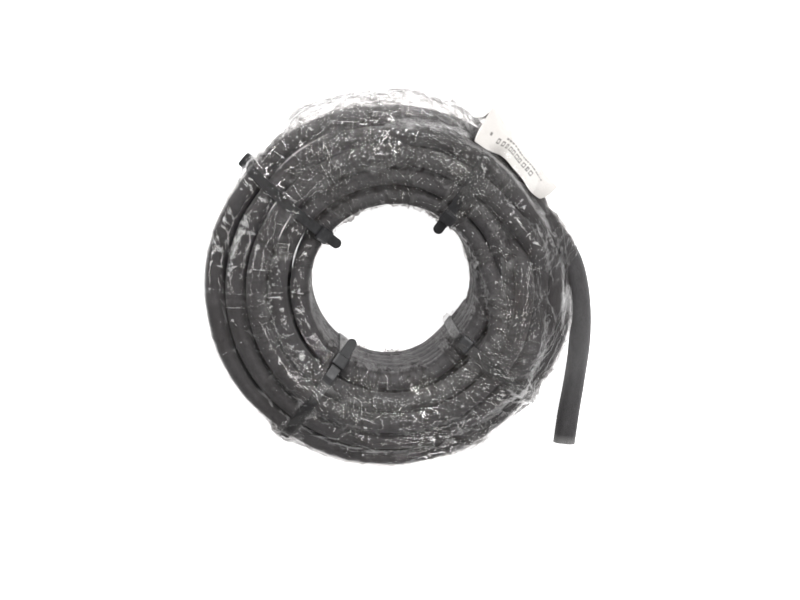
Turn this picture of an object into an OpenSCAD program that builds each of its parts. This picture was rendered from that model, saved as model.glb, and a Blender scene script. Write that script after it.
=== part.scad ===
// Coiled soaker hose: a bare porous hose wound on itself, held by four pairs of
// cable ties, wrapped in stretch film and labelled. It lies flat, +Z up.
// Millimetres. The origin is the middle of the footprint, on the floor.

/* [Hose] */
// Outside diameter of the hose
hose_od = 16; // [14:0.5:16.5]
// Bore of the hose
hose_id = 12; // [9:0.5:13]
// Length of the straight cut end
end_len = 30; // [20:1:40]

/* [Coil] */
// Radius of the open middle of the coil
hole_r = 76; // [66:1:90]
// Layers of hose from the middle outwards
layers = 5; // [5:1:6]
// Distance between one layer and the next
layer_pitch = 16.4; // [16:0.1:18]
// Rows of hose in the innermost and outermost layers
end_rows = 6; // [5:1:7]
// Distance between one row and the next
row_pitch = 16.1; // [16:0.1:17]
// How far the outermost layer leans away from the free end
lean = 5; // [0:0.5:8]

/* [Cable ties] */
// Width of the strap
strap_w = 9; // [4.8:0.1:10]
// Thickness of the strap
strap_t = 1.5; // [1:0.1:1.6]
// Width of the head
head_w = 13; // [11:0.5:15]
// Height of the head above the strap's seat
head_h = 7.5; // [6:0.5:9]
// How far the trimmed strap ends stand past their heads
tail_len = 14; // [6:1:20]

/* [Film and label] */
// Thickness of the gathered film
film_t = 0.3; // [0.2:0.05:0.6]
// Angle that the label covers
label_angle = 33; // [20:1:36]
// Thickness of the label
label_t = 0.3; // [0.2:0.05:0.5]

/* [Hidden] */

// The coil's axis seen from the middle of the footprint
axis_x = -11;
axis_y = 6.76;

hr = hose_od / 2;
gap = 0.3;                       // between the coil and the straps
f_in = gap + strap_t + 0.3;      // inside of the film
f_out = f_in + film_t;           // outside of the film
r1 = hole_r + hr;                // innermost layer
ro = r1 + (layers - 1) * layer_pitch;
rm = (r1 + ro) / 2;
zb = hr + f_out;                 // lowest row
zt = zb + (end_rows + 1) * row_pitch;
zl = zb + row_pitch;
zh = zt - row_pitch;
rmi = rm - 3;                    // the flat crown and foot of the coil
rmo = rm + lean + 3;
ai = atan2(zt - zh, rmi - r1);   // slope of the inner shoulder
ao = atan2(zt - zh, ro - rmo);   // slope of the outer shoulder
N = 5;

tie_angles = [141, 54, 232, 322];

// Route of the free end from the coil's last turn down to the floor, from the axis
tail_route = [[127, 82, 107], [135, 70, 107], [144, 55, 106.5], [152, 38, 105], [158, 21, 101.5], [163, 3, 95],
  [167, -15, 86], [170.5, -33, 74.5], [173.5, -51, 61], [176, -69, 47], [178, -87, 32.5],
  [179, -102, 21.5], [179, -117, 13.8], [178, -130, 9.9], [176.601, -142.79, 8.2]]; // ends 0.01 short of the bored end piece
tail_from = [176.6, -142.8, 8.2];
tail_to = [173.2, -172.6, 8.2];

function arc(c, r, a, b, n = N) = [for (i = [0:n]) [c[0] + r * cos(a + (b - a) * i / n), c[1] + r * sin(a + (b - a) * i / n)]];
function unit(v) = v / norm(v);
// shift of a leaning layer of radius r at angle t
function shift(r, t) = sqrt(r * r - pow(lean * sin(t), 2)) - lean * cos(t) - r;

// Solid of everything inside the coil's outer outline, grown by o
module outer_body(o) {
  r = hr + o;
  translate([-lean, 0, 0]) rotate_extrude($fn = 120) polygon(concat(
    [[0, zb - r]], arc([rmo, zb], r, -90, -90 + ao), arc([ro, zl], r, -90 + ao, 0),
    arc([ro, zh], r, 0, 90 - ao), arc([rmo, zt], r, 90 - ao, 90), [[0, zt + r]]));
}
// Solid of the open middle, shrunk by o
module hole_body(o) {
  r = hr + o;
  rotate_extrude($fn = 120) polygon(concat(
    [[0, -80], [rmi, -80]], arc([rmi, zb], r, -90, -90 - ai), arc([r1, zl], r, -90 - ai, -180),
    arc([r1, zh], r, 180, 90 + ai), arc([rmi, zt], r, 90 + ai, 90), [[rmi, zt + 80], [0, zt + 80]]));
}
module ring_body(o) { difference() { outer_body(o); hole_body(o); } }

// The inner end of the hose: where it starts and the way it runs into the coil
in_from = [71, -25.5, zl];
in_to = [49, -55, zl];
module along(a, b) { // puts +Z of its children from a towards b
  d = b - a;
  translate(a) rotate([0, acos(d[2] / norm(d)), atan2(d[1], d[0])]) children();
}

module hose_coil() color([0.27, 0.26, 0.27]) difference() {
  ring_body(0);
  along(in_from, in_to) translate([0, 0, -40]) cylinder(h = 40 + norm(in_to - in_from) + 0.01, r = hr + 0.05, $fn = 64);
}
module hose_inner_end() color([0.28, 0.27, 0.28]) along(in_from, in_to) difference() {
  cylinder(h = norm(in_to - in_from), r = hr, $fn = 64);
  translate([0, 0, -1]) cylinder(h = end_len + 1, r = hose_id / 2, $fn = 64);
}

// One polyhedron swept along a route, with n sides; its last face looks along way
module sweep(P, r, way, n = 12) {
  m = len(P);
  T = [for (i = [0:m - 1]) i == m - 1 ? unit(way) : unit(P[i + 1] - P[max(i - 1, 0)])];
  U = [for (i = [0:m - 1]) unit(cross(T[i], [0, 0, 1]))];
  V = [for (i = [0:m - 1]) cross(U[i], T[i])];
  pts = [for (i = [0:m - 1]) for (k = [0:n - 1]) P[i] + r * (cos(360 * k / n) * U[i] + sin(360 * k / n) * V[i])];
  polyhedron(points = pts, faces = concat(
    [[for (k = [0:n - 1]) k]],
    [for (i = [0:m - 2]) for (k = [0:n - 1]) for (h = [0, 1])
      h == 0 ? [i * n + k, (i + 1) * n + k, (i + 1) * n + (k + 1) % n] : [i * n + k, (i + 1) * n + (k + 1) % n, i * n + (k + 1) % n]],
    [[for (k = [0:n - 1]) (m - 1) * n + (n - 1 - k)]]), convexity = 4);
}
module hose_tail() color([0.29, 0.28, 0.29]) sweep(tail_route, hr, tail_to - tail_from);
ease = 0.3; // the bore's edges are eased by this much
module hose_tail_end() color([0.31, 0.30, 0.31]) along(tail_from, tail_to) difference() {
  cylinder(h = norm(tail_to - tail_from), r = hr, $fn = 64);
  translate([0, 0, -1]) cylinder(h = norm(tail_to - tail_from) + 2, r = hose_id / 2, $fn = 64);
  translate([0, 0, -1]) cylinder(h = 1 + ease, r1 = hose_id / 2 + ease + 1, r2 = hose_id / 2, $fn = 64);
  translate([0, 0, norm(tail_to - tail_from) - ease]) cylinder(h = 1 + ease, r1 = hose_id / 2, r2 = hose_id / 2 + ease + 1, $fn = 64);
}

// ---- cable ties, drawn in the plane of the coil's section ----
// A strip of thickness t along the points P
function normals(P) = [for (i = [0:len(P) - 1]) let (d = unit(P[min(i + 1, len(P) - 1)] - P[max(i - 1, 0)])) [-d[1], d[0]]];
module strip(P, t) {
  n = normals(P); m = len(P);
  polygon(concat([for (i = [0:m - 1]) P[i] + n[i] * t / 2], [for (i = [0:m - 1]) P[m - 1 - i] - n[m - 1 - i] * t / 2]));
}
// stands a section drawing up at angle t, w wide
module stand(t, w) { rotate([0, 0, t]) rotate([90, 0, 0]) linear_extrude(w, center = true) children(); }

seat = hr + gap + strap_t / 2;   // middle of a strap that lies on the coil
lift = seat + 3.1;               // middle of a strap where it passes through a head
// a point s along a shoulder from its low corner, h from the corners' line
function on_in(s, h) = [r1, zh] + s * [cos(ai), sin(ai)] + h * [-sin(ai), cos(ai)];

// The tie whose strap crosses the top: its head is on the outer wall, its end stands into the open middle
module tie_over(t, cut) color([0.13, 0.13, 0.14]) {
  so = shift(ro, t); sm = shift(rmo, t);
  stand(t, strap_w) strip(concat(
    [[ro + so + seat, 92]],
    arc([ro + so, zh], seat, 0, 90 - ao, 6), arc([rmo + sm, zt], seat, 90 - ao, 90, 2), arc([rmi, zt], seat, 90, 90 + ai, 2),
    [on_in(24, seat), on_in(15, lift), on_in(-7 - cut, lift)]), strap_t);
  head_out(t);
}
// The tie whose strap runs under: its head is on the inner shoulder, its end stands up beside the outer wall
module tie_under(t, cut) color([0.13, 0.13, 0.14]) {
  so = shift(ro, t); sm = shift(rmo, t);
  stand(t, strap_w) strip(concat(
    [on_in(4, seat)], arc([r1, zh], seat, 90 + ai, 180, 6), arc([r1, zl], seat, 180, 270 - ai, 6),
    arc([rmi, zb], seat, 270 - ai, 270, 2), arc([rmo + sm, zb], seat, 270, 270 + ao, 2), arc([ro + so, zl], seat, -90 + ao, 0, 6),
    [[ro + so + seat, 68], [ro + so + lift, 78], [ro + so + lift, 96 + cut]]), strap_t);
  head_in(t);
}
module slot_box(w, t, l) { cube([l, w, t], center = true); }
module head_in(t) rotate([0, 0, t]) {
  c = on_in(-0.5, hr + gap + 1 + head_h / 2);
  difference() {
    translate([c[0], 0, c[1]]) rotate([0, -ai, 0]) cube([11, head_w, head_h], center = true);
    q = on_in(-0.5, lift);
    translate([q[0], 0, q[1]]) rotate([0, -ai, 0]) slot_box(strap_w + 0.6, strap_t + 0.5, 14);
  }
}
module head_out(t) rotate([0, 0, t]) {
  so = shift(ro, t);
  difference() {
    translate([ro + so + hr + gap + 1 + head_h / 2, 0, 88]) cube([head_h, head_w, 11], center = true);
    translate([ro + so + lift, 0, 88]) rotate([0, 90, 0]) slot_box(strap_w + 0.6, strap_t + 0.5, 14);
  }
}
module tie_1_outer() tie_over(tie_angles[0], tail_len);
module tie_1_inner() tie_under(tie_angles[0], 4);
module tie_2_outer() tie_over(tie_angles[1], tail_len);
module tie_2_inner() tie_under(tie_angles[1], 4);
module tie_3_outer() tie_over(tie_angles[2], tail_len + 4);
module tie_3_inner() tie_under(tie_angles[2], 4);
module tie_4_outer() tie_over(tie_angles[3], 2);
module tie_4_inner() tie_under(tie_angles[3], 4);

// ---- film and label ----
// The room that the film leaves for a pair of heads, the strap ends and the free end of the hose
module film_openings() {
  for (t = tie_angles) rotate([0, 0, t]) {
    so = shift(ro, t);
    c = on_in(0, lift);
    translate([c[0], 0, c[1]]) rotate([0, -ai, 0]) cube([60, head_w + 1, head_h + 8], center = true);
    translate([ro + so + lift, 0, 86]) cube([head_h + 8, head_w + 1, 44], center = true);
  }
  // over the hose's last turn, where the free end leaves
  along([124, 87, 107], [150, 42, 106]) cylinder(h = 52, r = hr + 0.4, $fn = 48);
  along([150, 42, 106], [166, -12, 90]) cylinder(h = 58, r = hr + 1, $fn = 48);
  along([164, -2, 94], [172, -40, 72]) cylinder(h = 30, r = hr + 1, $fn = 48);
}
module base_flat(h) difference() {
  translate([-lean, 0, 0]) cylinder(h = h, r = rmo, $fn = 120);
  translate([0, 0, -1]) cylinder(h = h + 2, r = rmi, $fn = 120);
}
module film_wrap() color([0.62, 0.60, 0.59, 0.45]) difference() {
  ring_body(f_out);
  ring_body(f_in);
  translate([0, 0, -0.5]) base_flat(film_t + 0.5);
  film_openings();
}
module film_base() color([0.62, 0.60, 0.59, 0.45]) base_flat(film_t);

// The label lies on the outer shoulder and turns down over the edge
module label() color([0.94, 0.94, 0.92]) {
  a = hr + f_out; b = a + label_t;
  translate([-lean, 0, 0]) rotate([0, 0, 31]) rotate_extrude(angle = label_angle, $fn = 120) polygon(concat(
    [[ro, zh] + a * [sin(ao), cos(ao)] + 12 * [-cos(ao), sin(ao)]], arc([ro, zh], a, 90 - ao, 0, 4), [[ro + a, 99], [ro + b, 99]],
    arc([ro, zh], b, 0, 90 - ao, 4), [[ro, zh] + b * [sin(ao), cos(ao)] + 12 * [-cos(ao), sin(ao)]]));
}

translate([axis_x, axis_y, 0]) {
  hose_coil();
  hose_inner_end();
  hose_tail();
  hose_tail_end();
  tie_1_outer();
  tie_1_inner();
  tie_2_outer();
  tie_2_inner();
  tie_3_outer();
  tie_3_inner();
  tie_4_outer();
  tie_4_inner();
  film_wrap();
  film_base();
  label();
}
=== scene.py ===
import math
import bpy
import numpy as np
from mathutils import Matrix, Vector, kdtree


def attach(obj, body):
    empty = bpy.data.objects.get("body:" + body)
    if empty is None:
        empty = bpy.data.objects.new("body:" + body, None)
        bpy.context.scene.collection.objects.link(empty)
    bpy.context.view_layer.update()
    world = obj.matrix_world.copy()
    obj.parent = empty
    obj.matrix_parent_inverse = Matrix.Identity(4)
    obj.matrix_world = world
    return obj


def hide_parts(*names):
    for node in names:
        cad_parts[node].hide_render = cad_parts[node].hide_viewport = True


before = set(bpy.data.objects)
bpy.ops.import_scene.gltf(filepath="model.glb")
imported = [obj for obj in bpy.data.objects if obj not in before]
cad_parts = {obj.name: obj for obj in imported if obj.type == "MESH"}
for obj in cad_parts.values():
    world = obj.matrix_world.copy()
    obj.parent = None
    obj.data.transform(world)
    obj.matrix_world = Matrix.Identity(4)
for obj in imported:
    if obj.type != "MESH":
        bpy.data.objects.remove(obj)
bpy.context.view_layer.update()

MM = 0.001
AX = np.array([-11.0, 6.76, 0.0])  # the coil's axis, as in the CAD source
HOSE_R = 8.0
BORE_R = 6.0
rng = np.random.default_rng(20)
sc = bpy.context.scene
sc.view_settings.view_transform = "Standard"


def smooth01(x):
    x = np.clip(x, 0.0, 1.0)
    return x * x * x * (x * (6 * x - 15) + 10)


def wave_noise(x, seed, octaves=4, base=1.0, fall=0.55):
    """A smooth sum of sines in x, seeded, between about -1 and 1."""
    r = np.random.default_rng(seed)
    out = np.zeros_like(np.asarray(x, float))
    amp, tot = 1.0, 0.0
    for k in range(octaves):
        out = out + amp * np.sin(base * (1.9**k) * x + r.uniform(0, 6.283))
        tot += amp
        amp *= fall
    return out / tot


# ---------------------------------------------------------------- camera and light
def cam_matrix(pos, tx, ty, roll):
    rx = Matrix.Rotation(tx, 3, "X")
    ry = Matrix.Rotation(ty, 3, "Y")
    rz = Matrix.Rotation(roll, 3, "Z")
    return Matrix.Translation(Vector(pos)) @ (rz @ ry @ rx).to_4x4()


cam_data = bpy.data.cameras.new("camera")
cam_data.sensor_width = 36.0
cam_data.sensor_fit = "HORIZONTAL"
cam_data.lens = 47.9
cam_data.clip_start = 0.05
cam_data.clip_end = 20
cam = bpy.data.objects.new("camera", cam_data)
sc.collection.objects.link(cam)
cam.matrix_world = cam_matrix(
    ((-45.33 + AX[0]) * MM, (145.98 + AX[1]) * MM, 1012.6 * MM),
    -0.16989,
    -0.05546,
    -0.00107,
)
sc.camera = cam

# ---------------------------------------------------------------- the hose's route
LEAN = 5.0
LAYER_R = [84.0 + 16.4 * k for k in range(5)]
ROWS = [6, 7, 8, 7, 6]
JOG = [15.0, -28.0, 22.0, -35.0, 2.0]  # where each layer steps to its next row
START = math.radians(-20.0)
TIE_ANGLES = [141, 54, 232, 322]
TAIL_ROUTE = [
    (127, 82, 107), (135, 70, 107), (144, 55, 106.5), (152, 38, 105), (158, 21, 101.5), (163, 3, 95),
    (167, -15, 86), (170.5, -33, 74.5), (173.5, -51, 61), (176, -69, 47), (178, -87, 32.5),
    (179, -102, 21.5), (179, -117, 13.8), (178, -130, 9.9), (176.6, -142.8, 8.2), (173.2, -172.6, 8.2),
]


def hose_turns():
    turns = []
    for k, n in enumerate(ROWS):
        low = 10.4 + 16.1 * (8 - n) / 2.0
        zs = [low + 16.1 * i for i in range(n)]
        if k % 2:
            zs = zs[::-1]
        for i, z in enumerate(zs):
            turns.append((LAYER_R[k], -LEAN * k / 4.0, z, k))
    return turns


def coil_points(step=10.0):
    turns = hose_turns()
    start_deg = math.degrees(START)
    last = math.radians((start_deg - 62.0) % 360.0)  # the free end leaves the last turn here
    total = (len(turns) - 1) * 2 * math.pi + last
    phi = np.linspace(0, total, int(total * 116.8 / step))
    R = np.full(phi.shape, turns[0][0])
    ex = np.full(phi.shape, turns[0][1])
    z = np.full(phi.shape, turns[0][2])
    for j in range(len(turns) - 1):
        a, b = turns[j], turns[j + 1]
        c = math.radians((start_deg - JOG[a[3]] + 180.0) % 360.0 + 180.0)  # one full turn to each row
        change = a[3] != b[3]
        w = math.radians(44.0 if change else 34.0)
        mid = j * 2 * math.pi + c
        t = smooth01((phi - (mid - w)) / (2 * w))
        R = R + (b[0] - a[0]) * t
        ex = ex + (b[1] - a[1]) * t
        z = z + (b[2] - a[2]) * t
    th = START - phi
    deg = (np.degrees(th) + 180) % 360 - 180
    # the inner turns run straighter past the inner end
    dent = np.exp(-(((deg + 43) / 15.0) ** 4))
    inner = np.clip((92 - R) / 6.0, 0, 1)
    R = R - 5.5 * dent * inner
    # the ties draw the outer layers in, and the coil bulges a little between them
    out = np.clip((R - 92) / 58.0, 0, 1)
    pinch = sum(np.exp(-((((deg - t + 180) % 360 - 180) / 7.5) ** 2)) for t in TIE_ANGLES)
    bulge = np.exp(-(((deg + 13) / 17.0) ** 4))
    R = R + out * (1.0 - 3.4 * pinch + 2.6 * bulge)
    # the very end springs into the open middle
    R = R - 2.5 * np.clip(1 - phi / 0.55, 0, 1) ** 1.5
    # hand-wound unevenness
    R = R + 0.55 * wave_noise(phi, 3, 5, 1.7) * smooth01(phi / 2.0)
    z = z + 0.45 * wave_noise(phi, 7, 5, 1.3) * np.clip((z - 12) / 10, 0.0, 1)
    P = np.stack([ex + R * np.cos(th), R * np.sin(th), z], 1)
    return P


def spline(pts, step):
    """Catmull-Rom through pts, resampled evenly."""
    p = np.asarray(pts, float)
    p = np.vstack([2 * p[0] - p[1], p, 2 * p[-1] - p[-2]])
    out = []
    for i in range(1, len(p) - 2):
        t = np.linspace(0, 1, 24, endpoint=False)[:, None]
        out.append(
            0.5 * ((2 * p[i]) + (-p[i - 1] + p[i + 1]) * t
                   + (2 * p[i - 1] - 5 * p[i] + 4 * p[i + 1] - p[i + 2]) * t**2
                   + (-p[i - 1] + 3 * p[i] - 3 * p[i + 1] + p[i + 2]) * t**3)
        )
    out = np.vstack(out + [p[-2][None]])
    return resample(out, step)


def resample(q, step):
    s = np.concatenate([[0], np.cumsum(np.linalg.norm(np.diff(q, axis=0), axis=1))])
    n = max(int(round(s[-1] / step)), 2)
    u = np.linspace(0, s[-1], n + 1)
    return np.stack([np.interp(u, s, q[:, k]) for k in range(3)], 1)


def arc_len(q):
    return np.concatenate([[0], np.cumsum(np.linalg.norm(np.diff(q, axis=0), axis=1))])


def relax(P, free, rounds=30, gap=15.95):
    """Pushes turns that overlap apart; they may stay pressed together by about 2 mm."""
    P = P.copy()
    home = P.copy()
    n = len(P)
    for it in range(rounds):
        tree = kdtree.KDTree(n)
        for i in range(n):
            tree.insert(P[i], i)
        tree.balance()
        push = np.zeros_like(P)
        for i in range(n):
            for co, j, d in tree.find_range(P[i], gap):
                if j <= i + 5:
                    continue
                v = P[i] - P[j]
                d = max(d, 1e-6)
                m = v / d * (gap - d) * 0.5
                push[i] += m
                push[j] -= m
        ln = np.linalg.norm(push, axis=1, keepdims=True)
        push *= np.minimum(1.0, 0.8 / np.maximum(ln, 1e-9))
        P = P + push * free[:, None]
        sm = P.copy()
        sm[1:-1] = 0.5 * P[1:-1] + 0.25 * (P[:-2] + P[2:])
        P = P + (sm - P) * 0.35 * free[:, None]
        P = P + (home - P) * 0.02 * free[:, None]
        P[:, 2] = np.maximum(P[:, 2], np.minimum(home[:, 2], 10.3))
    return P


coil = coil_points()
tail = spline(TAIL_ROUTE, 10.0)
# one curve: coil, a smooth join, then the free end
P = np.vstack([coil[:-1], tail])
for _ in range(40):
    k0, k1 = len(coil) - 9, len(coil) + 7
    seg = P[k0:k1].copy()
    seg[1:-1] = 0.5 * seg[1:-1] + 0.25 * (seg[:-2] + seg[2:])
    P[k0:k1] = seg
P = resample(P, 10.0)
free = np.ones(len(P))
free[-26:] = np.linspace(1, 0, 26) ** 2
free[:3] = 0.3
P = relax(P, free)
P = resample(P, 9.0)
S = arc_len(P)
HOSE_LEN = float(S[-1])
to_end = HOSE_LEN - S
# the free end is pressed a little flat towards its cut
FLAT = smooth01((275 - to_end) / 160.0)
half_w = HOSE_R + (2.2 + 0.7 * smooth01((90 - to_end) / 80.0)) * FLAT
half_h = HOSE_R - (2.0 + 0.6 * smooth01((90 - to_end) / 80.0)) * FLAT
P[:, 2] = P[:, 2] - (HOSE_R - half_h) * smooth01((60 - P[:, 2]) / 45.0) * (FLAT > 0)
P[:, 2] = np.maximum(P[:, 2], half_h + 0.15)
HOSE_PATH = P.copy()


def frames(P):
    T = np.gradient(P, axis=0)
    T /= np.linalg.norm(T, axis=1, keepdims=True)
    U = np.cross(T, [0, 0, 1.0])
    U /= np.linalg.norm(U, axis=1, keepdims=True)
    V = np.cross(U, T)
    return T, U, V


# ---------------------------------------------------------------- mesh helpers
def new_mesh(name, verts, faces, smooth=True):
    me = bpy.data.meshes.new(name)
    me.from_pydata([tuple(v) for v in verts], [], faces)
    me.validate()
    if smooth:
        me.polygons.foreach_set("use_smooth", [True] * len(me.polygons))
    me.update()
    ob = bpy.data.objects.new(name, me)
    sc.collection.objects.link(ob)
    return ob


def to_world(P):
    return (np.asarray(P) + AX) * MM


def add_attr(me, name, values, kind="FLOAT"):
    a = me.attributes.new(name, kind, "POINT")
    a.data.foreach_set("value", np.asarray(values, float).ravel())


def hose_mesh(P, sides=28):
    T, U, V = frames(P)
    n = len(P)
    s = arc_len(P)
    rings, rad, along = [], [], []
    ang = np.linspace(0, 2 * math.pi, sides, endpoint=False)

    def ring(i, r_out, shift=0.0):
        k = r_out / HOSE_R
        x, y = np.cos(ang) * half_w[i] * k, np.sin(ang) * half_h[i] * k
        if r_out < 7:  # the bore keeps an even wall round it
            x, y = np.cos(ang) * (half_w[i] - 2.0), np.sin(ang) * (half_h[i] - 2.0)
        # a lengthwise fold in the top of the flattened end
        fold = FLAT[i] * np.exp(-(((x - 1.5 + 3.0 * np.sin(to_end[i] / 38.0)) / 2.6) ** 2)) * (np.sin(ang) > 0)
        y = y - 1.15 * fold * smooth01((130 - to_end[i]) / 60.0)
        return (P[i] + T[i] * shift)[None] + np.outer(x, U[i]) + np.outer(y, V[i])

    verts = []
    # the bore at the start, from inside out
    deep = 4
    for i in range(deep, -1, -1):
        verts.append(ring(i, BORE_R))
    verts.append(ring(0, BORE_R + 0.15, -0.1))
    verts.append(ring(0, HOSE_R - 0.35, -0.1))
    verts.append(ring(0, HOSE_R, 0.25))
    for i in range(1, n - 1):
        verts.append(ring(i, HOSE_R))
    verts.append(ring(n - 1, HOSE_R, -0.25))
    verts.append(ring(n - 1, HOSE_R - 0.35, 0.1))
    verts.append(ring(n - 1, BORE_R + 0.15, 0.1))
    for i in range(n - 1, n - 2 - deep, -1):
        verts.append(ring(i, BORE_R))
    m = len(verts)
    V3 = np.vstack(verts)
    faces = []
    for a in range(m - 1):
        for k in range(sides):
            b0, b1 = a * sides + k, a * sides + (k + 1) % sides
            faces.append((b0, b1, b1 + sides, b0 + sides))
    faces.append(tuple(range(sides - 1, -1, -1)))
    faces.append(tuple((m - 1) * sides + k for k in range(sides)))
    ob = new_mesh("soaker_hose", to_world(V3), faces)
    idx = [*range(deep, -1, -1), 0, 0, 0, *range(1, n - 1), n - 1, n - 1, n - 1, *range(n - 1, n - 2 - deep, -1)]
    add_attr(ob.data, "along", np.repeat(s[idx], sides))
    add_attr(ob.data, "round_x", np.tile(np.cos(ang), m))
    add_attr(ob.data, "round_y", np.tile(np.sin(ang), m))
    cutend = np.zeros(m)
    cutend[deep + 1 : deep + 3] = 1
    cutend[m - deep - 4 : m - deep - 2] = 1
    add_attr(ob.data, "cut", np.repeat(cutend, sides))
    return ob


hose = hose_mesh(HOSE_PATH)


# ---------------------------------------------------------------- materials
def mat_new(name):
    m = bpy.data.materials.new(name)
    m.use_nodes = True
    nt = m.node_tree
    for n in list(nt.nodes):
        nt.nodes.remove(n)
    out = nt.nodes.new("ShaderNodeOutputMaterial")
    return m, nt, out


class Nodes:
    """Short calls to build a node tree."""

    def __init__(self, nt):
        self.nt = nt

    def put(self, sock, value):
        if hasattr(value, "is_output"):
            self.nt.links.new(value, sock)
        else:
            sock.default_value = value

    def attr(self, name, out="Fac"):
        n = self.nt.nodes.new("ShaderNodeAttribute")
        n.attribute_type = "GEOMETRY"
        n.attribute_name = name
        return n.outputs[out]

    def obj(self):
        return self.nt.nodes.new("ShaderNodeTexCoord").outputs["Object"]

    def math(self, op, a, b=0.0, clamp=False):
        n = self.nt.nodes.new("ShaderNodeMath")
        n.operation = op
        n.use_clamp = clamp
        self.put(n.inputs[0], a)
        self.put(n.inputs[1], b)
        return n.outputs[0]

    def vec(self, x, y, z):
        n = self.nt.nodes.new("ShaderNodeCombineXYZ")
        for i, v in enumerate((x, y, z)):
            self.put(n.inputs[i], v)
        return n.outputs[0]

    def noise(self, vec, scale, detail=3.0, rough=0.55, distort=0.0):
        n = self.nt.nodes.new("ShaderNodeTexNoise")
        self.nt.links.new(vec, n.inputs["Vector"])
        n.inputs["Scale"].default_value = scale
        n.inputs["Detail"].default_value = detail
        n.inputs["Roughness"].default_value = rough
        n.inputs["Distortion"].default_value = distort
        return n.outputs["Fac"]

    def voronoi(self, vec, scale, feature="DISTANCE_TO_EDGE"):
        n = self.nt.nodes.new("ShaderNodeTexVoronoi")
        n.feature = feature
        self.nt.links.new(vec, n.inputs["Vector"])
        n.inputs["Scale"].default_value = scale
        return n.outputs["Distance"]

    def ramp(self, fac, stops):
        n = self.nt.nodes.new("ShaderNodeValToRGB")
        self.nt.links.new(fac, n.inputs[0])
        els = n.color_ramp.elements
        while len(els) > 1:
            els.remove(els[-1])
        for i, (pos, col) in enumerate(stops):
            e = els[0] if i == 0 else els.new(pos)
            e.position = pos
            e.color = (*col, 1.0) if len(col) == 3 else col
        return n.outputs[0]

    def remap(self, v, a, b, c, d):
        n = self.nt.nodes.new("ShaderNodeMapRange")
        self.put(n.inputs[0], v)
        for i, x in enumerate((a, b, c, d)):
            n.inputs[i + 1].default_value = x
        return n.outputs[0]

    def mix(self, fac, a, b, blend="MIX"):
        n = self.nt.nodes.new("ShaderNodeMix")
        n.data_type = "RGBA"
        n.blend_type = blend
        self.put(n.inputs[0], fac)
        self.put(n.inputs[6], a)
        self.put(n.inputs[7], b)
        return n.outputs[2]

    def bump(self, height, strength, dist, normal=None):
        n = self.nt.nodes.new("ShaderNodeBump")
        n.inputs["Strength"].default_value = strength
        n.inputs["Distance"].default_value = dist
        self.nt.links.new(height, n.inputs["Height"])
        if normal is not None:
            self.nt.links.new(normal, n.inputs["Normal"])
        return n.outputs[0]


def hose_material():
    """Porous rubber-crumb wall: matt charcoal with lengthwise drawing lines and a fine open grain."""
    m, nt, out = mat_new("hose_rubber")
    N = Nodes(nt)
    b = nt.nodes.new("ShaderNodeBsdfPrincipled")
    nt.links.new(b.outputs[0], out.inputs[0])
    along, cx, cy = N.attr("along"), N.attr("round_x"), N.attr("round_y")
    lines = N.vec(cx, cy, N.math("MULTIPLY", along, 0.02))
    streak = N.noise(lines, 9.0, 4.0, 0.6)
    fine = N.noise(lines, 34.0, 3.0, 0.6)
    patch = N.noise(N.vec(cx, cy, N.math("MULTIPLY", along, 0.06)), 0.9, 3.0, 0.55)
    grain = N.noise(N.obj(), 900.0, 3.0, 0.7)
    pores = N.voronoi(N.obj(), 620.0)
    tone = N.math("ADD", N.math("MULTIPLY", streak, 0.45), N.math("MULTIPLY", patch, 0.55))
    col = N.ramp(tone, [(0.28, (0.036, 0.034, 0.036)), (0.5, (0.056, 0.053, 0.055)), (0.74, (0.088, 0.083, 0.086))])
    col = N.mix(N.remap(grain, 0.35, 0.7, 0.0, 0.35), col, (0.11, 0.105, 0.108, 1))
    # painted shade: the pore hollows are coloured near black, standing in for the shade inside them
    col = N.mix(N.remap(pores, 0.0, 0.12, 0.45, 0.0), col, (0.02, 0.019, 0.02, 1))
    col = N.mix(N.math("MULTIPLY", N.attr("cut"), N.remap(grain, 0.3, 0.6, 0.4, 0.9)), col, (0.36, 0.355, 0.35, 1))
    nt.links.new(col, b.inputs["Base Color"])
    rough = N.remap(N.math("ADD", fine, grain), 0.6, 1.4, 0.48, 0.7)
    nt.links.new(rough, b.inputs["Roughness"])
    b.inputs["Specular IOR Level"].default_value = 0.42
    b.inputs["Sheen Weight"].default_value = 0.12
    b.inputs["Sheen Roughness"].default_value = 0.5
    n1 = N.bump(streak, 0.35, 0.0006)
    n2 = N.bump(fine, 0.3, 0.0003, n1)
    n3 = N.bump(grain, 0.35, 0.00025, n2)
    n4 = N.bump(N.remap(pores, 0.0, 0.2, 0.0, 1.0), 0.3, 0.0002, n3)
    nt.links.new(n4, b.inputs["Normal"])
    return m


def nylon_material():
    m, nt, out = mat_new("tie_nylon")
    N = Nodes(nt)
    b = nt.nodes.new("ShaderNodeBsdfPrincipled")
    nt.links.new(b.outputs[0], out.inputs[0])
    big = N.noise(N.obj(), 60.0, 3.0, 0.5)
    scuff = N.noise(N.obj(), 420.0, 4.0, 0.65)
    col = N.ramp(big, [(0.3, (0.018, 0.018, 0.019)), (0.7, (0.032, 0.032, 0.034))])
    col = N.mix(N.remap(scuff, 0.55, 0.8, 0.0, 0.5), col, (0.075, 0.075, 0.078, 1))
    nt.links.new(col, b.inputs["Base Color"])
    nt.links.new(N.remap(scuff, 0.3, 0.75, 0.3, 0.55), b.inputs["Roughness"])
    nt.links.new(N.bump(scuff, 0.25, 0.0002, N.bump(big, 0.2, 0.0006)), b.inputs["Normal"])
    return m


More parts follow.
